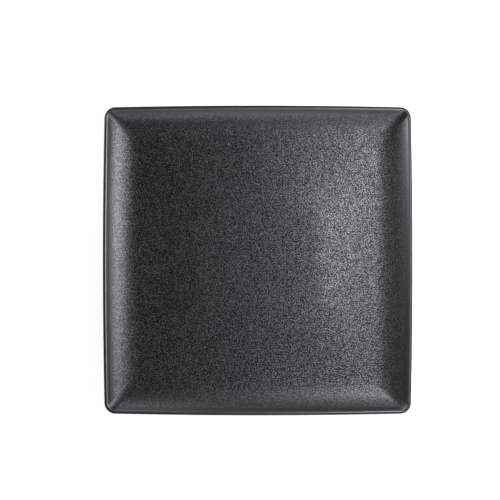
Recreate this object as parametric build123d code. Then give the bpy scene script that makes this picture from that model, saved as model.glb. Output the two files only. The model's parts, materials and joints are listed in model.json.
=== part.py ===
"""A square dinner plate in glazed stoneware.

The plate lies on the XY plane with +Z up. The origin is the middle of the square that its foot
ring stands on. All sizes are in millimetres.

A level of the plate is a square with bowed sides and rounded corners. It is given by its inset,
which is how far its sides lie inside the plate's outermost edge, its height and its corner radius.
Levels follow the plate's cross-section from the middle of the floor, up the wall, over the lip and
down the outside to the underside, and a skin through them closes the body.
"""
from build123d import *
import os
from math import acos, asin, cos, degrees, pi, radians, sin, sqrt, tan

# Plan of the plate
WIDTH = 265.0  # across the middles of two opposite sides
SIDE_BOW = 1.6  # how far a side bulges out past a straight line
CORNER_RADIUS = 9.5  # of the outermost edge
CREASE_RADIUS = 2.0  # draws the corners of the inner wall in to a soft crease
WELL_CORNER_RADIUS = 12.0  # where the wall meets the floor
PAD_CORNER_RADIUS = 34.0  # of the raised middle of the floor
UNDERSIDE_CORNER_RADIUS = 16.0  # where the outside meets the underside

# Heights
FOOT_HEIGHT = 4.4  # table to the underside
FLOOR_THICKNESS = 4.8  # underside to the low part of the floor
WELL_DEPTH = 12.4  # low part of the floor to the crest of the lip

# Cross-section
WALL_RADIUS = 36.0  # hollow curve of the inner wall
OUTSIDE_RADIUS = 32.0  # full curve of the outside
LIP_RADIUS = 1.8  # rounding of the lip
PAD_WIDTH = 100.0  # level middle of the floor
FLOOR_FALL = 2.4  # how far the floor falls from the pad to its low part
FALL_POWER = 3.3  # above 2, the fall is steeper near the pad than near the wall
FLOOR_RING = 3.0  # level low part of the floor, before the wall begins

# Foot ring
FOOT_SETBACK = 46.0  # outermost edge of the plate to the outside of the ring at its root
FOOT_WIDTH = 7.0  # of the ring at its root
FOOT_CORNER_RADIUS = 20.0  # outside of the ring at its root
FOOT_DRAFT = 12.0  # degrees that its sides lean
FOOT_ROUNDING = 0.9  # of the edges it stands on

# Coats
GLAZE = 0.4  # thickness of every coat
GLAZE_LINE = 1.3  # height above the table where the coats are wiped off the foot ring
RIM_BAND = 3.2  # height of the smooth coat over the lip

# Levels taken on each stretch of the cross-section
FLOOR_LEVELS = 9
WALL_LEVELS = 7
LIP_LEVELS = 9
OUTSIDE_LEVELS = 7

# Worked out from the sizes above
HALF_WIDTH = WIDTH / 2
SIDE_RADIUS = (HALF_WIDTH**2 + SIDE_BOW**2) / (2 * SIDE_BOW)
FLOOR_Z = FOOT_HEIGHT + FLOOR_THICKNESS
CREST_Z = FLOOR_Z + WELL_DEPTH
LIP_Z = CREST_Z - LIP_RADIUS

# The lip's circle touches the inner wall's from outside and the outside's from within.
# Each slope is how steep that curve is at the lip, and each foot is the inset where it runs level.
WALL_SLOPE = acos((WALL_RADIUS - WELL_DEPTH + LIP_RADIUS) / (WALL_RADIUS + LIP_RADIUS))
WALL_FOOT = LIP_RADIUS + (WALL_RADIUS + LIP_RADIUS) * sin(WALL_SLOPE)
OUTSIDE_RISE = FLOOR_THICKNESS + WELL_DEPTH - LIP_RADIUS
OUTSIDE_SLOPE = acos((OUTSIDE_RADIUS - OUTSIDE_RISE) / (OUTSIDE_RADIUS - LIP_RADIUS))
OUTSIDE_FOOT = LIP_RADIUS + (OUTSIDE_RADIUS - LIP_RADIUS) * sin(OUTSIDE_SLOPE)


def steps(first, last, count):
    """Evenly spaced values from first to last."""
    return [first + (last - first) * i / (count - 1) for i in range(count)]


def blend(first, last, share):
    """The value that lies a share of the way from first to last."""
    return first + (last - first) * share


def bowed_square(inset, z, corner_radius):
    """A level: four long arcs for the sides, joined smoothly by four corner arcs."""
    side_radius = SIDE_RADIUS - inset
    side_centre = SIDE_RADIUS - HALF_WIDTH
    reach = side_radius - corner_radius
    corner_centre = (sqrt(2 * reach**2 - side_centre**2) - side_centre) / 2
    turn = degrees(asin(corner_centre / reach))
    side = CenterArc((-side_centre, 0), side_radius, -turn, 2 * turn)
    corner = CenterArc((corner_centre, corner_centre), corner_radius, turn, 90 - 2 * turn)
    edges = []
    for quarter in range(4):
        edges += [Rotation(0, 0, 90 * quarter) * edge for edge in (side, corner)]
    return Pos(0, 0, z) * Wire(edges)


def floor_levels(coat):
    """Floor from the edge of the level pad, down a fall that starts and ends level, to its low part."""
    levels = []
    for share in steps(0, 1, FLOOR_LEVELS):
        inset = blend(HALF_WIDTH - PAD_WIDTH / 2, WALL_FOOT + FLOOR_RING, share)
        left = (1 - share) ** FALL_POWER * (1 + FALL_POWER * share)
        z = FLOOR_Z + FLOOR_FALL * left - coat
        levels.append((inset, z, blend(PAD_CORNER_RADIUS, WELL_CORNER_RADIUS, share)))
    return levels


def wall_levels(coat):
    """Inner wall, a hollow arc that leaves the floor level and ends at the lip."""
    lip_corner = lip_levels(coat)[0][2]
    levels = []
    for angle in steps(0, WALL_SLOPE, WALL_LEVELS):
        share = angle / WALL_SLOPE
        below = blend(WELL_CORNER_RADIUS, CREASE_RADIUS, share)
        above = blend(CREASE_RADIUS, lip_corner, share)
        inset = WALL_FOOT - (WALL_RADIUS + coat) * sin(angle)
        z = FLOOR_Z + WALL_RADIUS - (WALL_RADIUS + coat) * cos(angle)
        levels.append((inset, z, blend(below, above, share)))
    return levels


def lip_levels(coat):
    """Rounded lip, from the inner wall over the crest to the outside."""
    levels = []
    for angle in steps(pi / 2 - WALL_SLOPE, 3 * pi / 2 - OUTSIDE_SLOPE, LIP_LEVELS):
        inset = LIP_RADIUS + (LIP_RADIUS - coat) * cos(angle)
        z = LIP_Z + (LIP_RADIUS - coat) * sin(angle)
        levels.append((inset, z, CORNER_RADIUS - inset))
    return levels


def outside_levels(coat):
    """Outside, a full arc from the lip down to the level underside."""
    lip_corner = lip_levels(coat)[-1][2]
    levels = []
    for angle in steps(OUTSIDE_SLOPE, 0, OUTSIDE_LEVELS):
        inset = OUTSIDE_FOOT - (OUTSIDE_RADIUS - coat) * sin(angle)
        z = FOOT_HEIGHT + OUTSIDE_RADIUS - (OUTSIDE_RADIUS - coat) * cos(angle)
        levels.append((inset, z, blend(UNDERSIDE_CORNER_RADIUS, lip_corner, angle / OUTSIDE_SLOPE)))
    return levels


def dish(coat):
    """The plate without its foot ring, its skin lying a coat's thickness inside the finished one."""
    floor, wall, lip, outside = (
        [bowed_square(*level) for level in levels(coat)]
        for levels in (floor_levels, wall_levels, lip_levels, outside_levels)
    )
    skin = [Face(floor[0]), Face(wall[0], [floor[-1]]), Face(outside[-1])]
    for stretch in (floor, wall, lip, outside):
        skin += Shell.make_loft(stretch).faces()
    return Solid(Shell(skin))


def foot(coat, base_z):
    """The foot ring from a height up to the clay, grown by a coat's thickness on both sides."""
    root_z = FOOT_HEIGHT + GLAZE
    outer_inset = FOOT_SETBACK - coat
    inner_inset = FOOT_SETBACK + FOOT_WIDTH + coat
    blocks = []
    for root_inset, lean in ((outer_inset, 1), (inner_inset, -1)):
        levels = []
        for z in (base_z, root_z):
            inset = root_inset + lean * (root_z - z) * tan(radians(FOOT_DRAFT))
            levels.append(bowed_square(inset, z, FOOT_CORNER_RADIUS + FOOT_SETBACK - inset))
        blocks.append(Solid.make_loft(levels, ruled=True))
    return blocks[0] - blocks[1]


# Clay
clay_body = dish(GLAZE)
sharp_foot = foot(0, 0)
standing_face = sharp_foot.faces().sort_by(Axis.Z)[0]
foot_ring = fillet(standing_face.edges(), FOOT_ROUNDING)

# Coats: all that lies between the finished skin and the clay, cut where one coat ends
coats = dish(0) + foot(GLAZE, GLAZE_LINE) - clay_body - foot_ring
rim_slab = Box(2 * WIDTH, 2 * WIDTH, 2 * RIM_BAND)
rim_slab = Pos(0, 0, CREST_Z) * rim_slab
rim_glaze = coats & rim_slab
*underside_coats, face_glaze = sorted(
    (coats - rim_slab).solids(), key=lambda coat: coat.bounding_box().min.Z
)
recess_glaze, outer_glaze = sorted(underside_coats, key=lambda coat: coat.bounding_box().size.X)

NODES = {
    "clay_body": clay_body,
    "foot_ring": foot_ring,
    "face_glaze": face_glaze,
    "rim_glaze": rim_glaze,
    "outer_glaze": outer_glaze,
    "recess_glaze": recess_glaze,
}
os.makedirs("parts", exist_ok=True)
for node, shape in NODES.items():
    export_step(shape, f"parts/{node}.step")
    print(node, len(shape.solids()), "solid", round(shape.volume), "cubic mm")
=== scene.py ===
# %% [markdown]
# # A square dinner plate in matte charcoal glaze
#
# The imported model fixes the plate's size and place. This lesson dresses it: every coat of glaze and
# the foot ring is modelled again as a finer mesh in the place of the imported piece, and then each gets a
# finish made of shader nodes.
# The frame is loaded first, and its box is kept, because nothing made here may grow past it.

# %% Load the fixed frame
import json
from math import acos, asin, cos, floor, pi, radians, sin, sqrt, tan

import bmesh
import bpy
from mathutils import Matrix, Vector, noise


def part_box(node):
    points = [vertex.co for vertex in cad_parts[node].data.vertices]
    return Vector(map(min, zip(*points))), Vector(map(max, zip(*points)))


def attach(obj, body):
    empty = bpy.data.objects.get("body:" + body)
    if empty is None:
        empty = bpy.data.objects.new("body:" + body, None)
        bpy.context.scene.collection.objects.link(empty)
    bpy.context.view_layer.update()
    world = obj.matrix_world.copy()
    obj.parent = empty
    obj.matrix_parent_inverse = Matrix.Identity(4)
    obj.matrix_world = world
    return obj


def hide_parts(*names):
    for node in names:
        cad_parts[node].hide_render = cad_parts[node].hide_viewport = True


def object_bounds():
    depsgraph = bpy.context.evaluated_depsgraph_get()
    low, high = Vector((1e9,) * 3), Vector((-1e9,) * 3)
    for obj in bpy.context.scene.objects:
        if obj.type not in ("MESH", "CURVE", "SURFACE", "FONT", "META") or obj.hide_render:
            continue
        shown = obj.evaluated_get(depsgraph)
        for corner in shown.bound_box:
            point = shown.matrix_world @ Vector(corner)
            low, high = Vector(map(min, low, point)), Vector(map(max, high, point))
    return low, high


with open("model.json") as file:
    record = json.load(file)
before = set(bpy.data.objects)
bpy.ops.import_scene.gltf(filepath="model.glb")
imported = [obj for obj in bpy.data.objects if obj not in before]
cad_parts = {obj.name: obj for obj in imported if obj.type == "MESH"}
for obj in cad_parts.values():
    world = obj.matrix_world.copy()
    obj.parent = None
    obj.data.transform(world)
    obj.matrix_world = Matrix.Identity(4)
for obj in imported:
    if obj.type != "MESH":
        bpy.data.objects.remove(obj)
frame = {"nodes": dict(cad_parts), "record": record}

cad_low, cad_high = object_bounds()
MM = 0.001
print("plate in the frame, mm:", [round(side / MM, 2) for side in cad_high - cad_low])

# %% [markdown]
# ## Sizes
#
# A plate is pressed in a mould, so a few radii and heights describe all of it. What can be read from
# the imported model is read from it: the outer width, the crest of the lip, the floor, the seam under
# the lip and the foot ring. The rest are sizes of the mould and the thickness of the glaze.

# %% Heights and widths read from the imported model
def mount_height(name):
    """Height of one of the plate's resting faces."""
    return next(mount["pos_m"][2] for mount in frame["record"]["mounts"] if mount["name"] == name)


GLAZE = 0.4 * MM
HALF_WIDTH = cad_high.x
CREST_Z = cad_high.z
PAD_Z = mount_height("well_floor")
FLOOR_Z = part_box("face_glaze")[0].z + GLAZE
SEAM_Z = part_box("rim_glaze")[0].z
FOOT_ROOT_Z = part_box("foot_ring")[1].z
UNDERSIDE_Z = FOOT_ROOT_Z - GLAZE
FOOT_SETBACK = HALF_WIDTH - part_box("foot_ring")[1].x
GLAZE_LINE_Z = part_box("outer_glaze")[0].z
print("floor", round(FLOOR_Z / MM, 2), "pad", round(PAD_Z / MM, 2), "crest", round(CREST_Z / MM, 2))

# %% Sizes of the mould
SIDE_BOW = 1.6 * MM
CORNER_RADIUS = 9.5 * MM
CREASE_RADIUS = 2.0 * MM
WELL_CORNER_RADIUS = 12.0 * MM
PAD_CORNER_RADIUS = 34.0 * MM
UNDERSIDE_CORNER_RADIUS = 16.0 * MM
FOOT_CORNER_RADIUS = 20.0 * MM
WALL_RADIUS = 36.0 * MM
OUTSIDE_RADIUS = 32.0 * MM
LIP_RADIUS = 1.8 * MM
PAD_HALF = 50.0 * MM
FALL_POWER = 3.3
FLOOR_RING = 3.0 * MM
FOOT_WIDTH = 7.0 * MM
FOOT_DRAFT = radians(12.0)
FOOT_ROUNDING = 0.9 * MM

SIDE_RADIUS = (HALF_WIDTH**2 + SIDE_BOW**2) / (2 * SIDE_BOW)
LIP_Z = CREST_Z - LIP_RADIUS
WALL_SLOPE = acos((FLOOR_Z + WALL_RADIUS - LIP_Z) / (WALL_RADIUS + LIP_RADIUS))
WALL_FOOT = LIP_RADIUS + (WALL_RADIUS + LIP_RADIUS) * sin(WALL_SLOPE)
OUTSIDE_SLOPE = acos((UNDERSIDE_Z + OUTSIDE_RADIUS - LIP_Z) / (OUTSIDE_RADIUS - LIP_RADIUS))
OUTSIDE_FOOT = LIP_RADIUS + (OUTSIDE_RADIUS - LIP_RADIUS) * sin(OUTSIDE_SLOPE)
print("wall meets the floor", round(WALL_FOOT / MM, 2), "mm in from the edge")

# %% [markdown]
# ## One outline for every level
#
# Seen from above, every level of the plate is a square whose sides bow out and whose corners are
# round. A level is three numbers: its inset from the outer edge, its height and its corner radius.
# `around` says where on the outline a point lies: 0 is the middle of the right side, 1 the middle of
# the far side, and so on. The same share of steps goes to each corner on every level, so that rings of
# faces join without a twist.

# %% A point on a bowed square
SIDE_STEPS = 48
CORNER_STEPS = 16
QUARTER_STEPS = SIDE_STEPS + CORNER_STEPS
SIDE_SHARE = SIDE_STEPS / QUARTER_STEPS


def on_level(around, level):
    """The point that lies at a place around the outline of a level."""
    inset, z, corner_radius = level
    quarter = floor(around + 0.5)
    along = 2 * (around - quarter)
    side_centre = HALF_WIDTH - SIDE_RADIUS
    reach = SIDE_RADIUS - inset - corner_radius
    corner_centre = (side_centre + sqrt(2 * reach**2 - side_centre**2)) / 2
    turn = asin(corner_centre / reach)
    if abs(along) <= SIDE_SHARE:
        angle = turn * along / SIDE_SHARE
        x = side_centre + (SIDE_RADIUS - inset) * cos(angle)
        y = (SIDE_RADIUS - inset) * sin(angle)
    else:
        angle = turn + (pi / 4 - turn) * (abs(along) - SIDE_SHARE) / (1 - SIDE_SHARE)
        x = corner_centre + corner_radius * cos(angle)
        y = (corner_centre + corner_radius * sin(angle)) * (1 if along > 0 else -1)
    turned = quarter * pi / 2
    return Vector((x * cos(turned) - y * sin(turned), x * sin(turned) + y * cos(turned), z))


print("each outline has", 4 * QUARTER_STEPS, "points")

# %% [markdown]
# ## The cross-section as levels
#
# The cross-section is a chain of curves that run into each other smoothly: the fall of the floor round
# its raised middle, the hollow wall, the rounded lip and the full curve of the outside. Each function
# gives the level at one place on its curve, so a finer plate only needs more places.

# %% Levels of the floor, the wall, the lip and the outside
def steps(first, last, count):
    """Evenly spaced values from first to last."""
    return [first + (last - first) * i / (count - 1) for i in range(count)]


def blend(first, last, share):
    """The value that lies a share of the way from first to last."""
    return first + (last - first) * share


def fall_level(share):
    """A level on the fall of the floor, which is steepest near the pad and starts and ends level."""
    inset = blend(HALF_WIDTH - PAD_HALF, WALL_FOOT + FLOOR_RING, share)
    left = (1 - share) ** FALL_POWER * (1 + FALL_POWER * share)
    return inset, blend(FLOOR_Z, PAD_Z, left), blend(PAD_CORNER_RADIUS, WELL_CORNER_RADIUS, share)


def lip_level(angle):
    """A level on the rounded lip, with the angle counted from the inner side over the crest."""
    inset = LIP_RADIUS + LIP_RADIUS * cos(angle)
    return inset, LIP_Z + LIP_RADIUS * sin(angle), CORNER_RADIUS - inset


def wall_level(angle):
    """A level on the hollow wall at a slope, where 0 is the floor."""
    share = angle / WALL_SLOPE
    lip_corner = lip_level(pi / 2 - WALL_SLOPE)[2]
    below = blend(WELL_CORNER_RADIUS, CREASE_RADIUS, share)
    above = blend(CREASE_RADIUS, lip_corner, share)
    inset = WALL_FOOT - WALL_RADIUS * sin(angle)
    return inset, FLOOR_Z + WALL_RADIUS * (1 - cos(angle)), blend(below, above, share)


def outside_level(angle):
    """A level on the full curve of the outside at a slope, where 0 is the underside."""
    lip_corner = lip_level(3 * pi / 2 - OUTSIDE_SLOPE)[2]
    inset = OUTSIDE_FOOT - OUTSIDE_RADIUS * sin(angle)
    z = UNDERSIDE_Z + OUTSIDE_RADIUS * (1 - cos(angle))
    return inset, z, blend(UNDERSIDE_CORNER_RADIUS, lip_corner, angle / OUTSIDE_SLOPE)


WALL_SEAM = acos(1 - (SEAM_Z - FLOOR_Z) / WALL_RADIUS)
OUTSIDE_SEAM = acos(1 - (SEAM_Z - UNDERSIDE_Z) / OUTSIDE_RADIUS)
print("slope of the wall at the lip, degrees:", round(WALL_SLOPE * 180 / pi, 1))

# %% [markdown]
# ## Building rings with operators
#
# A ring of edges is extruded again and again, and each new ring is set on the next level. The ring
# carries `around` as a number on every vertex, which extruding copies, so a new vertex always knows its
# place. A coat that closes in the middle starts from a grid instead, whose border is the first ring.

# %% Start and extrude a ring
def start_ring(bm, level):
    """A closed ring of edges on a level."""
    around = bm.verts.layers.float.new("around")
    verts = bmesh.ops.create_circle(bm, segments=4 * QUARTER_STEPS, radius=HALF_WIDTH)["verts"]
    for step, vert in enumerate(verts):
        vert[around] = step / QUARTER_STEPS
        vert.co = on_level(vert[around], level)
    return bm.edges[:]


def start_middle(bm, level):
    """A grid that fills a level right to its middle. Returns its border."""
    inset, z, corner_radius = level
    around = bm.verts.layers.float.new("around")
    bmesh.ops.create_grid(bm, x_segments=QUARTER_STEPS, y_segments=QUARTER_STEPS, size=1)
    for vert in bm.verts:
        x, y = vert.co.xy
        share = max(abs(x), abs(y))
        if share == 0:
            vert.co.z = z
            continue
        quarter = (x, y, -x, -y).index(share)
        vert[around] = quarter + (y, -x, -y, x)[quarter] / share / 2
        shrunk = HALF_WIDTH - (HALF_WIDTH - inset) * share
        vert.co = on_level(vert[around], (shrunk, z, corner_radius * share))
    return [edge for edge in bm.edges if edge.is_boundary]


def extrude_to(bm, ring, levels):
    """Extrude a ring through levels. Returns the last ring."""
    around = bm.verts.layers.float["around"]
    for level in levels:
        made = bmesh.ops.extrude_edge_only(bm, edges=ring)["geom"]
        verts = {part for part in made if isinstance(part, bmesh.types.BMVert)}
        for vert in verts:
            place = vert[around]
            vert.co = on_level(place, level(place) if callable(level) else level)
        edges = [part for part in made if isinstance(part, bmesh.types.BMEdge)]
        ring = [edge for edge in edges if verts.issuperset(edge.verts)]
    return ring


# %% [markdown]
# ## From a skin to a piece
#
# A coat is first modelled as its outer skin alone. Glaze flows a little in the kiln, so the skin is
# let sink by a few hundredths of a millimetre in slow waves, which breaks up reflections that would
# otherwise look machined. Then solidify gives it thickness towards the clay, and edges that turn
# sharply are marked so that smooth shading stops there.

# %% Settle, thicken and name a piece
COAT_DEPTH = 0.3 * MM
SETTLE_DEPTH = 0.03 * MM
SETTLE_WAVE = 24 * MM
SHARP_TURN = radians(50)


def face_skin(bm, up):
    """Turn all faces of an open skin the same way, up or down."""
    bmesh.ops.recalc_face_normals(bm, faces=bm.faces)
    if sum(face.normal.z * face.calc_area() for face in bm.faces) * up < 0:
        bmesh.ops.reverse_faces(bm, faces=bm.faces)


def settle(bm):
    """Let a skin sink towards the clay in slow waves."""
    bm.normal_update()
    for vert in bm.verts:
        wave = 0.5 + 0.5 * noise.noise(vert.co / SETTLE_WAVE)
        vert.co -= vert.normal * SETTLE_DEPTH * wave


def thicken(bm):
    """Give a skin its thickness towards the clay."""
    bmesh.ops.solidify(bm, geom=bm.faces[:], thickness=COAT_DEPTH)


def add_piece(bm, name, node):
    """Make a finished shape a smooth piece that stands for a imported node."""
    bm.normal_update()
    for face in bm.faces:
        face.smooth = True
    for edge in bm.edges:
        edge.smooth = edge.calc_face_angle(0) < SHARP_TURN
    mesh = bpy.data.meshes.new(name)
    bm.to_mesh(mesh)
    bm.free()
    piece = bpy.data.objects.new(name, mesh)
    bpy.context.scene.collection.objects.link(piece)
    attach(piece, "root")
    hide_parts(node)
    print(name, len(mesh.polygons), "faces")
    return piece


# %% [markdown]
# ## The grained coat on the floor and the wall
#
# This coat is nearly all that is seen from above. It starts as a grid over the level pad, falls
# slightly to the low part of the floor, runs level and then climbs the hollow wall up to the seam
# under the lip. Rings are close together on the wall, where the highlight bends.

# %% Model the grained coat
FALL_RINGS = 27
WALL_RINGS = 29

bm = bmesh.new()
ring = start_middle(bm, fall_level(0))
ring = extrude_to(bm, ring, [fall_level(share) for share in steps(0, 1, FALL_RINGS)[1:]])
ring = extrude_to(bm, ring, [wall_level(angle) for angle in steps(0, WALL_SEAM, WALL_RINGS)])
face_skin(bm, up=1)
settle(bm)
thicken(bm)
grained_coat = add_piece(bm, "grained_coat", "face_glaze")

# %% [markdown]
# ## The smooth coat over the lip
#
# The lip is wiped and dipped again, so it has a smooth coat of its own. It is a band that starts at
# the seam inside, goes up the last of the wall, over the small round of the lip and ends at the seam
# outside. The round needs close rings, because its highlight is the thin light line that draws the
# plate's outline. Every point also keeps how far it faces outwards, for the finish to read later.

# %% Model the lip coat
SEAM_RINGS = 7
LIP_RINGS = 25
OUTER_SEAM_RINGS = 4


def mark_outwards(bm):
    """Keep on each vertex how far it faces away from the middle, from -1 to 1."""
    outwards = bm.verts.layers.float.new("outwards")
    bm.normal_update()
    for vert in bm.verts:
        vert[outwards] = vert.normal.xy.dot(vert.co.xy.normalized())


bm = bmesh.new()
ring = start_ring(bm, wall_level(WALL_SEAM))
wall_angles = steps(WALL_SEAM, WALL_SLOPE, SEAM_RINGS)
ring = extrude_to(bm, ring, [wall_level(angle) for angle in wall_angles[1:]])
lip_angles = steps(pi / 2 - WALL_SLOPE, 3 * pi / 2 - OUTSIDE_SLOPE, LIP_RINGS)
ring = extrude_to(bm, ring, [lip_level(angle) for angle in lip_angles[1:]])
outside_angles = steps(OUTSIDE_SLOPE, OUTSIDE_SEAM, OUTER_SEAM_RINGS)
ring = extrude_to(bm, ring, [outside_level(angle) for angle in outside_angles[1:]])
face_skin(bm, up=1)
settle(bm)
mark_outwards(bm)
thicken(bm)
lip_coat = add_piece(bm, "lip_coat", "rim_glaze")

# %% [markdown]
# ## The coats of the outside and of the recess
#
# The outside curves down to a level underside, and the glaze there runs on to the foot ring, where it
# pools in the corner and was wiped off just above the table. Inside the ring lies a second coat that
# ends the same way. Both share the pool and the wiped line, so these are functions of which side of the
# ring is meant. A wiped line is never quite straight, so its height wanders a little.

# %% The foot ring's sides, the pool at its root and the wiped line
POOL_RADIUS = 1.1 * MM
POOL_RINGS = 9
WIPE_WANDER = 0.35 * MM
WIPE_CIRCLE = 6  # radius of the circle that the line follows through noise, in cells of the noise
WIPE_LAYER = 3  # how far above or below the middle of the noise that circle lies
OUTER_SIDE = 1
INNER_SIDE = -1


def foot_level(z, side, coat):
    """A level on a leaning side of the foot ring, grown by a coat's thickness."""
    root_inset = FOOT_SETBACK - coat if side == OUTER_SIDE else FOOT_SETBACK + FOOT_WIDTH + coat
    inset = root_inset + side * (FOOT_ROOT_Z - z) * tan(FOOT_DRAFT)
    return inset, z, FOOT_CORNER_RADIUS + FOOT_SETBACK - inset


def pool_levels(side):
    """Levels round the pool of glaze, from the underside to a side of the foot ring."""
    centre_z = UNDERSIDE_Z - POOL_RADIUS
    touch = foot_level(centre_z + POOL_RADIUS * sin(FOOT_DRAFT), side, GLAZE)
    centre_inset = touch[0] - side * POOL_RADIUS * cos(FOOT_DRAFT)
    levels = []
    for angle in steps(pi / 2, FOOT_DRAFT, POOL_RINGS):
        inset = centre_inset + side * POOL_RADIUS * cos(angle)
        z = centre_z + POOL_RADIUS * sin(angle)
        levels.append((inset, z, FOOT_CORNER_RADIUS + FOOT_SETBACK - inset))
    return levels


def wiped_level(side):
    """The line where the glaze was wiped off, as a level that depends on the place around it."""
    def level(around):
        turn = around * pi / 2
        spot = Vector((WIPE_CIRCLE * cos(turn), WIPE_CIRCLE * sin(turn), WIPE_LAYER * side))
        wander = 0.5 + 0.5 * noise.noise(spot)
        return foot_level(GLAZE_LINE_Z + WIPE_WANDER * wander, side, GLAZE)
    return level


print("pool starts", round(pool_levels(OUTER_SIDE)[0][0] / MM, 2), "mm in from the edge")

# %% Model the coat of the outside
OUTSIDE_RINGS = 25
UNDERSIDE_SHARES = (0.33, 0.67)

bm = bmesh.new()
ring = start_ring(bm, outside_level(OUTSIDE_SEAM))
ring = extrude_to(bm, ring, [outside_level(angle) for angle in steps(OUTSIDE_SEAM, 0, OUTSIDE_RINGS)[1:]])
pool = pool_levels(OUTER_SIDE)
for share in UNDERSIDE_SHARES:
    inset = blend(OUTSIDE_FOOT, pool[0][0], share)
    ring = extrude_to(bm, ring, [(inset, UNDERSIDE_Z, blend(UNDERSIDE_CORNER_RADIUS, pool[0][2], share))])
ring = extrude_to(bm, ring, pool)
ring = extrude_to(bm, ring, [wiped_level(OUTER_SIDE)])
face_skin(bm, up=-1)
settle(bm)
thicken(bm)
outer_coat = add_piece(bm, "outer_coat", "outer_glaze")

# %% Model the coat of the recess
bm = bmesh.new()
pool = pool_levels(INNER_SIDE)
ring = start_middle(bm, pool[0])
ring = extrude_to(bm, ring, pool[1:])
ring = extrude_to(bm, ring, [wiped_level(INNER_SIDE)])
face_skin(bm, up=-1)
settle(bm)
thicken(bm)
recess_coat = add_piece(bm, "recess_coat", "recess_glaze")

# %% [markdown]
# ## The foot ring
#
# The ring that the plate stands on is bare clay at its base, ground flat with its two edges eased. Its
# outline is extruded down the outer side, round the eased edges, across the standing face and up the
# inner side, and bridging the last ring to the first closes the top, which is buried in the body.

# %% Model the foot ring
EASED_RINGS = 7


def eased_levels(side):
    """Levels round an eased edge, from a leaning side of the ring to its standing face."""
    touch = foot_level(FOOT_ROUNDING * (1 - sin(FOOT_DRAFT)), side, coat=0)
    centre_inset = touch[0] + side * FOOT_ROUNDING * cos(FOOT_DRAFT)
    levels = []
    for angle in steps(FOOT_DRAFT, pi / 2, EASED_RINGS):
        inset = centre_inset - side * FOOT_ROUNDING * cos(angle)
        z = FOOT_ROUNDING * (1 - sin(angle))
        levels.append((inset, z, FOOT_CORNER_RADIUS + FOOT_SETBACK - inset))
    return levels


bm = bmesh.new()
outer_root = start_ring(bm, foot_level(FOOT_ROOT_Z, OUTER_SIDE, coat=0))
ring = extrude_to(bm, outer_root, eased_levels(OUTER_SIDE))
ring = extrude_to(bm, ring, reversed(eased_levels(INNER_SIDE)))
inner_root = extrude_to(bm, ring, [foot_level(FOOT_ROOT_Z, INNER_SIDE, coat=0)])
bmesh.ops.bridge_loops(bm, edges=outer_root + inner_root)
bmesh.ops.recalc_face_normals(bm, faces=bm.faces)
standing_ring = add_piece(bm, "standing_ring", "foot_ring")

# %% [markdown]
# ## Shader maths that reads as maths
#
# A finish is a tree of nodes, which is hard to read when every link is a line of its own. One small
# class wraps a socket, so that sums and products of values add their Math nodes, and one method adds
# any other node.

# %% A value that varies over a surface
class Value:
    """A number, colour or vector that varies over a surface."""

    def __init__(self, tree, socket=None):
        self.tree = tree
        self.socket = socket

    def node(self, kind, settings=None, sockets=None, output=0):
        """Add a node. Its settings are set first, then its sockets get values or links."""
        made = self.tree.nodes.new(kind)
        for name, value in (settings or {}).items():
            setattr(made, name, value)
        for name, value in (sockets or {}).items():
            if isinstance(value, Value):
                self.tree.links.new(value.socket, made.inputs[name])
            else:
                made.inputs[name].default_value = value
        return Value(self.tree, made.outputs[output])

    def maths(self, operation, first, second):
        """Add a Math node for two values or numbers."""
        return self.node("ShaderNodeMath", {"operation": operation}, {0: first, 1: second})

    def __add__(self, other):
        return self.maths("ADD", self, other)

    def __radd__(self, other):
        return self.maths("ADD", other, self)

    def __sub__(self, other):
        return self.maths("SUBTRACT", self, other)

    def __rsub__(self, other):
        return self.maths("SUBTRACT", other, self)

    def __mul__(self, other):
        return self.maths("MULTIPLY", self, other)

    def __rmul__(self, other):
        return self.maths("MULTIPLY", other, self)

    def ease(self, low, high):
        """0 where this value is low, 1 where it is high, and a smooth step between."""
        bounds = {"Value": self, "From Min": low, "From Max": high}
        return self.node("ShaderNodeMapRange", {"interpolation_type": "SMOOTHSTEP"}, bounds)

    def between(self, first, second):
        """A colour mixed from two, with this value as the share of the second."""
        return self.node("ShaderNodeMix", {"data_type": "RGBA"}, {0: self, 6: first, 7: second}, output=2)


# %% Start a finish and put it on a piece
def new_finish(name, **constants):
    """A material with constant sockets set. Returns it, its shader and a value to add nodes with."""
    material = bpy.data.materials.new(name)
    material.use_nodes = True
    shader = material.node_tree.nodes["Principled BSDF"]
    for socket, value in constants.items():
        shader.inputs[socket.replace("_", " ")].default_value = value
    return material, shader, Value(material.node_tree)


def feed(shader, **values):
    """Link values that vary to sockets of a shader."""
    for socket, value in values.items():
        value.tree.links.new(value.socket, shader.inputs[socket.replace("_", " ")])


def coat_with(piece, material):
    """Give a piece one finish all over."""
    piece.data.materials.clear()
    piece.data.materials.append(material)
    print(piece.name, "gets", material.name)


# %% [markdown]
# ## The grained glaze
#
# The dark glaze dries to a skin of tiny pebbles, about as far apart as grains of sugar. Modelled one by
# one they would take millions of faces, so fine noise stands for them. Their tops are rubbed to a faint
# gloss, while the dips stay dull. The same noise feeds the weight of a gloss coat and the colour, so the
# colour is paler wherever the glaze is glossier: that is a painted sheen. A little bump adds relief.
# Noise is weak along the flat layers that it is worked out in, and the floor would lie in one of them, so
# the noise leans. Broad clouds make the sheen drift a little from place to place.
#
# Up the wall the glaze runs smoother, so there the gloss evens out, and at the lip the pebbles are gone.
# In the creases, where two walls meet, nothing rubs the glaze and it stays dull. Since the colour follows
# the gloss, the creases are also painted darker: painted shade.

# %% Where on the plate a point lies
def object_place(nodes):
    """Where a point of the surface lies in the piece, in metres."""
    return nodes.node("ShaderNodeTexCoord", output="Object")


def height_of(nodes, place):
    """The height of a point of the surface above the table."""
    return nodes.node("ShaderNodeSeparateXYZ", sockets={"Vector": place}, output="Z")


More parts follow.
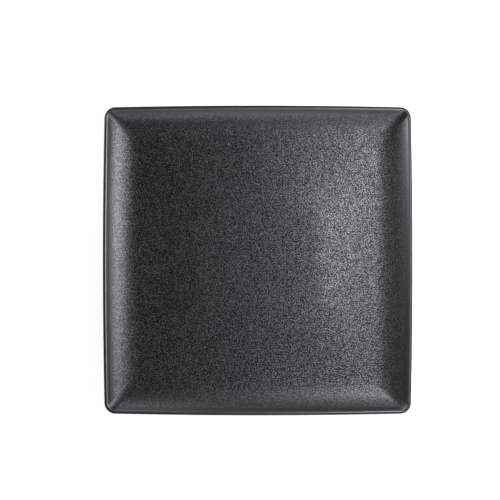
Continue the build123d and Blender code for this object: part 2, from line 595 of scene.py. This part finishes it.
def noise_of(nodes, place, size, detail=2.0, roughness=0.5):
    """Soft noise with blobs of about a size, between 0 and 1."""
    sockets = {"Vector": place, "Scale": 1 / size, "Detail": detail, "Roughness": roughness}
    return nodes.node("ShaderNodeTexNoise", sockets=sockets)


def bump_of(nodes, height, distance):
    """Shallow relief of up to a distance, for a shader's Normal."""
    return nodes.node("ShaderNodeBump", sockets={"Strength": 1.0, "Distance": distance, "Height": height})


def reaches_of(nodes, place):
    """How far out a point of the surface lies: towards the nearest side, and towards the next one."""
    sizes = nodes.node("ShaderNodeVectorMath", {"operation": "ABSOLUTE"}, {0: place})
    across = nodes.node("ShaderNodeSeparateXYZ", sockets={"Vector": sizes}, output="X")
    along = nodes.node("ShaderNodeSeparateXYZ", sockets={"Vector": sizes}, output="Y")
    return nodes.maths("MAXIMUM", across, along), nodes.maths("MINIMUM", across, along)


CREASE_HALF_WIDTH = 7 * MM


def in_crease(nodes, place):
    """1 on the diagonals, where two walls meet in a crease, and 0 beside them."""
    reach, next_reach = reaches_of(nodes, place)
    return 1 - (reach - next_reach).ease(0, CREASE_HALF_WIDTH)


# %% Mix the grained glaze
# The dull dip colour, and a paler colour for the glossiest glaze, which is a painted sheen.
CHARCOAL_DIP = (0.0016, 0.0016, 0.00145, 1)
CHARCOAL_PAINTED_SHEEN = (0.0092, 0.0091, 0.0083, 1)
PEBBLE = 0.7 * MM
PEBBLE_HEIGHT = 0.1 * MM
PEBBLE_FOOT = 0.53  # level of the noise where a rubbed top begins
PEBBLE_TOP = 0.64  # level of the noise where it is fully rubbed
CLOUD = 26 * MM
GRAIN_LEAN = (radians(35), radians(50), 0)
WALL_GLOSS = 0.46
WALL_EVENING = 0.45
SEAM_GLOSS = 0.36
SMOOTH_INSET = 9 * MM
LIP_INSET = 4.4 * MM
CREASE_DULLING = 0.65

material, shader, nodes = new_finish(
    "grained_charcoal_glaze", IOR=1.5, Specular_IOR_Level=0.08, Coat_IOR=1.6, Coat_Roughness=0.38
)
place = object_place(nodes)
leaning = nodes.node("ShaderNodeMapping", sockets={"Vector": place, "Rotation": GRAIN_LEAN})
pebbles = noise_of(nodes, leaning, PEBBLE, detail=0)
clouds = noise_of(nodes, place, CLOUD, detail=3)
tops = pebbles.ease(PEBBLE_FOOT, PEBBLE_TOP)
reach = reaches_of(nodes, place)[0]
up_wall = reach.ease(HALF_WIDTH - WALL_FOOT, HALF_WIDTH - SMOOTH_INSET)
by_lip = reach.ease(HALF_WIDTH - SMOOTH_INSET, HALF_WIDTH - LIP_INSET)
evened = up_wall * WALL_EVENING
# Painted shade: the creases are dulled, and through the gloss their colour turns darker too.
dulled = in_crease(nodes, place) * up_wall * CREASE_DULLING
pebbled = tops * (1 - evened) + evened * WALL_GLOSS
# The gloss also sets the colour below: paler where glossier, a painted sheen.
gloss_and_painted_sheen = (pebbled * (1 - by_lip) + by_lip * SEAM_GLOSS) * (1 - dulled)
bump = bump_of(nodes, pebbles * (1 - by_lip), PEBBLE_HEIGHT)
feed(
    shader,
    Base_Color=gloss_and_painted_sheen.between(CHARCOAL_DIP, CHARCOAL_PAINTED_SHEEN),
    Roughness=0.42 + clouds * 0.1,
    Coat_Weight=gloss_and_painted_sheen * (0.85 + clouds * 0.3),
    Normal=bump,
)
coat_with(grained_coat, material)

# %% [markdown]
# ## The lip glaze
#
# On the lip the glaze is smooth. It starts as dull as the wall at the seam, so that the seam can't be
# seen, and turns shinier towards the crest, where it is rubbed by hands and cloths. Over the crest and on
# the outer side it is duller again, and in the corners it stays as dull as the creases. It also runs thin
# over the crest, and the clay under it warms the black a little. A slow noise gives the faint orange peel
# of a dipped edge.

# %% Mix the lip glaze
CREST_GLOSS = 0.7
OUTER_DULLING = 0.85
SHINY_TURN = -0.4  # how far the lip faces outwards where it begins to be duller
DULL_TURN = 0.05  # and where it is as dull as it gets
LIP_PEEL = 1.6 * MM
LIP_PATCH = 9 * MM
PEEL_HEIGHT = 0.02 * MM
CREST_START_Z = SEAM_Z + 0.6 * MM
LIP_CHARCOAL = (0.004, 0.004, 0.0036, 1)
LIP_THIN = (0.009, 0.0085, 0.0076, 1)

material, shader, nodes = new_finish(
    "smooth_lip_glaze", IOR=1.5, Specular_IOR_Level=0.08, Coat_IOR=1.6, Coat_Roughness=0.34
)
place = object_place(nodes)
peel = noise_of(nodes, place, LIP_PEEL, detail=1)
patches = noise_of(nodes, place, LIP_PATCH, detail=3)
crest = height_of(nodes, place).ease(CREST_START_Z, CREST_Z)
outwards = nodes.node("ShaderNodeAttribute", {"attribute_name": "outwards"}, output="Fac")
dulled = outwards.ease(SHINY_TURN, DULL_TURN) * OUTER_DULLING
creased = in_crease(nodes, place) * CREASE_DULLING
bump = bump_of(nodes, peel, PEEL_HEIGHT)
feed(
    shader,
    Base_Color=(crest * patches).between(LIP_CHARCOAL, LIP_THIN),
    Roughness=0.36 + patches * 0.1,
    Coat_Weight=(SEAM_GLOSS + crest * (CREST_GLOSS - SEAM_GLOSS)) * (1 - dulled) * (1 - creased),
    Normal=bump,
)
coat_with(lip_coat, material)

# %% [markdown]
# ## The smooth glaze of the outside
#
# The outside and the underside are dipped in the same dark glaze, but it dries smooth there. It has a
# faint orange peel, cloudy changes of sheen and a few pinholes where bubbles burst.

# %% Mix the smooth glaze
CHARCOAL = (0.008, 0.008, 0.0083, 1)
CHARCOAL_PALE = (0.014, 0.0138, 0.0136, 1)
OUTSIDE_PEEL = 2.2 * MM
OUTSIDE_CLOUD = 18 * MM
PINHOLE_SPACING = 7 * MM
PINHOLE_DEPTH = 0.04 * MM


def dots_of(nodes, place, spacing, inner, outer):
    """0 in scattered dots and 1 around them. Both radii are shares of the spacing."""
    sockets = {"Vector": place, "Scale": 1 / spacing}
    distance = nodes.node("ShaderNodeTexVoronoi", {"feature": "F1"}, sockets, output="Distance")
    return distance.ease(inner, outer)


material, shader, nodes = new_finish("smooth_charcoal_glaze", IOR=1.5)
place = object_place(nodes)
peel = noise_of(nodes, place, OUTSIDE_PEEL, detail=1.5)
clouds = noise_of(nodes, place, OUTSIDE_CLOUD, detail=4)
pinholes = dots_of(nodes, place, PINHOLE_SPACING, inner=0.035, outer=0.06)
bump = bump_of(nodes, peel * 0.5 + pinholes, PINHOLE_DEPTH)
feed(
    shader,
    Base_Color=clouds.ease(low=0.35, high=0.7).between(CHARCOAL, CHARCOAL_PALE),
    Roughness=0.34 + clouds * 0.14,
    Normal=bump,
)
for coat in (outer_coat, recess_coat):
    coat_with(coat, material)

# %% [markdown]
# ## Bare stoneware
#
# Where the glaze was wiped off, the fired clay shows: a warm grey-brown body with dark iron specks and
# paler grog, dry and rough to the touch. The same clay makes up the hidden core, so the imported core
# gets it too.

# %% Mix the stoneware
CLAY_DARK = (0.24, 0.2, 0.16, 1)
CLAY_PALE = (0.42, 0.36, 0.3, 1)
IRON_BROWN = (0.06, 0.045, 0.035, 1)
CLAY_PATCH = 5 * MM
SAND = 0.5 * MM
SAND_HEIGHT = 0.06 * MM
SPECK_SPACING = 1.8 * MM

material, shader, nodes = new_finish("bare_stoneware", IOR=1.5)
place = object_place(nodes)
body = noise_of(nodes, place, CLAY_PATCH, detail=5, roughness=0.65)
sand = noise_of(nodes, place, SAND, detail=2)
iron = 1 - dots_of(nodes, place, SPECK_SPACING, inner=0.1, outer=0.22)
clay = (body * 0.6 + sand * 0.4).ease(low=0.3, high=0.7).between(CLAY_DARK, CLAY_PALE)
bump = bump_of(nodes, sand, SAND_HEIGHT)
feed(
    shader,
    Base_Color=(iron * body).between(clay, IRON_BROWN),
    Roughness=0.78 + sand * 0.16,
    Normal=bump,
)
coat_with(standing_ring, material)
coat_with(frame["nodes"]["clay_body"], material)

# %% [markdown]
# ## The studio
#
# The plate lies on a light table, seen from straight above. The table glows from below, which keeps the
# ground white and the shadows faint. The plate's floor looks dark because little light hangs over it:
# most comes in from softboxes around the table, so each wall catches the ones opposite. Four keys on the
# right stand close, and their light fades across the floor to the left.

# %% Lay the light table
TABLE_HALF = 4.0
TABLE_GLOW = 0.78
TABLE_GREY = (0.21, 0.21, 0.2, 1)
TABLE_PALE = (0.23, 0.23, 0.22, 1)
TABLE_PATCH = 0.5

bm = bmesh.new()
bmesh.ops.create_grid(bm, x_segments=8, y_segments=8, size=TABLE_HALF)
mesh = bpy.data.meshes.new("table")
bm.to_mesh(mesh)
bm.free()
table = bpy.data.objects.new("table", mesh)
bpy.context.scene.collection.objects.link(table)
material, shader, nodes = new_finish(
    "light_table", Roughness=0.8, Emission_Color=(1, 1, 1, 1), Emission_Strength=TABLE_GLOW
)
shade = noise_of(nodes, object_place(nodes), TABLE_PATCH, detail=1)
feed(shader, Base_Color=shade.between(TABLE_GREY, TABLE_PALE))
coat_with(table, material)

# %% Hang the softboxes
COOL_WHITE = (0.93, 0.92, 1.0)
KEY = {"distance": 0.42, "width": 0.2, "height": 0.14}
WIDE_KEY = {"distance": 0.42, "width": 0.28, "height": 0.14}
SIDE_STRIP = {"distance": 1.4, "width": 0.7, "height": 0.22}
FRONT_STRIP = {"distance": 1.4, "width": 0.8, "height": 0.24}
FILL = {"distance": 1.1, "width": 0.4, "height": 0.3}


def hang_softbox(name, azimuth, elevation, brightness, distance, width, height):
    """A softbox that faces the middle of the plate. Azimuth 0 is the right, 90 the far side."""
    lamp = bpy.data.lights.new(name, "AREA")
    lamp.shape = "RECTANGLE"
    lamp.size = width
    lamp.size_y = height
    lamp.color = COOL_WHITE
    lamp.energy = brightness * pi * width * height
    box = bpy.data.objects.new(name, lamp)
    turn, rise = radians(azimuth), radians(elevation)
    box.location = Vector((cos(rise) * cos(turn), cos(rise) * sin(turn), sin(rise))) * distance
    box.rotation_euler = box.location.to_track_quat("Z", "Y").to_euler()
    box.visible_camera = False
    bpy.context.scene.collection.objects.link(box)
    print(name, round(lamp.energy, 2), "W")


hang_softbox("key_far_right", azimuth=20, elevation=44, brightness=36, **KEY)
hang_softbox("key_near_right", azimuth=-20, elevation=44, brightness=19, **KEY)
hang_softbox("key_far_high", azimuth=27, elevation=63, brightness=13.5, **WIDE_KEY)
hang_softbox("key_near_high", azimuth=-40, elevation=63, brightness=5.6, **KEY)
hang_softbox("far_low", azimuth=120, elevation=22, brightness=28, **SIDE_STRIP)
hang_softbox("left_low", azimuth=150, elevation=8, brightness=80, **SIDE_STRIP)
hang_softbox("front_low", azimuth=270, elevation=24, brightness=16.5, **FRONT_STRIP)
hang_softbox("front_high", azimuth=270, elevation=72, brightness=2.2, **FILL)
hang_softbox("left_high", azimuth=180, elevation=72, brightness=1.1, **FILL)

# %% [markdown]
# ## The room and the camera
#
# The room round the table is dim, so that little but the softboxes shows in the glaze. A dim room would
# make a dark backdrop when the plate is seen from the side, so the camera alone sees it pale, by asking
# which rays come straight from the lens. The camera looks straight down, a little left of the plate's
# middle and beyond it, because the plate lies right of and below the middle of the picture.

# %% Set the room tone
ROOM_TONE = 0.04
BACKDROP_TONE = 0.76
room = bpy.data.worlds.new("room")
room.use_nodes = True
backdrop = room.node_tree.nodes["Background"]
backdrop.inputs["Color"].default_value = (1, 1, 1, 1)
from_lens = Value(room.node_tree).node("ShaderNodeLightPath", output="Is Camera Ray")
feed(backdrop, Strength=ROOM_TONE + from_lens * (BACKDROP_TONE - ROOM_TONE))
bpy.context.scene.world = room
print("room tone", ROOM_TONE, "and", BACKDROP_TONE, "to the camera")

# %% Set the camera
PICTURE_WIDTH = 427.7 * MM
CAMERA_HEIGHT = 0.75
CAMERA_X = -6.6 * MM
CAMERA_Y = 8.93 * MM
lens = bpy.data.cameras.new("overhead")
lens.sensor_width = 36.0
lens.lens = lens.sensor_width * (CAMERA_HEIGHT - LIP_Z) / PICTURE_WIDTH
camera = bpy.data.objects.new("overhead", lens)
camera.location = (CAMERA_X, CAMERA_Y, CAMERA_HEIGHT)
bpy.context.scene.collection.objects.link(camera)
bpy.context.scene.camera = camera
bpy.context.scene.view_settings.view_transform = "Standard"
print("lens", round(lens.lens, 1), "mm at", CAMERA_HEIGHT, "m")
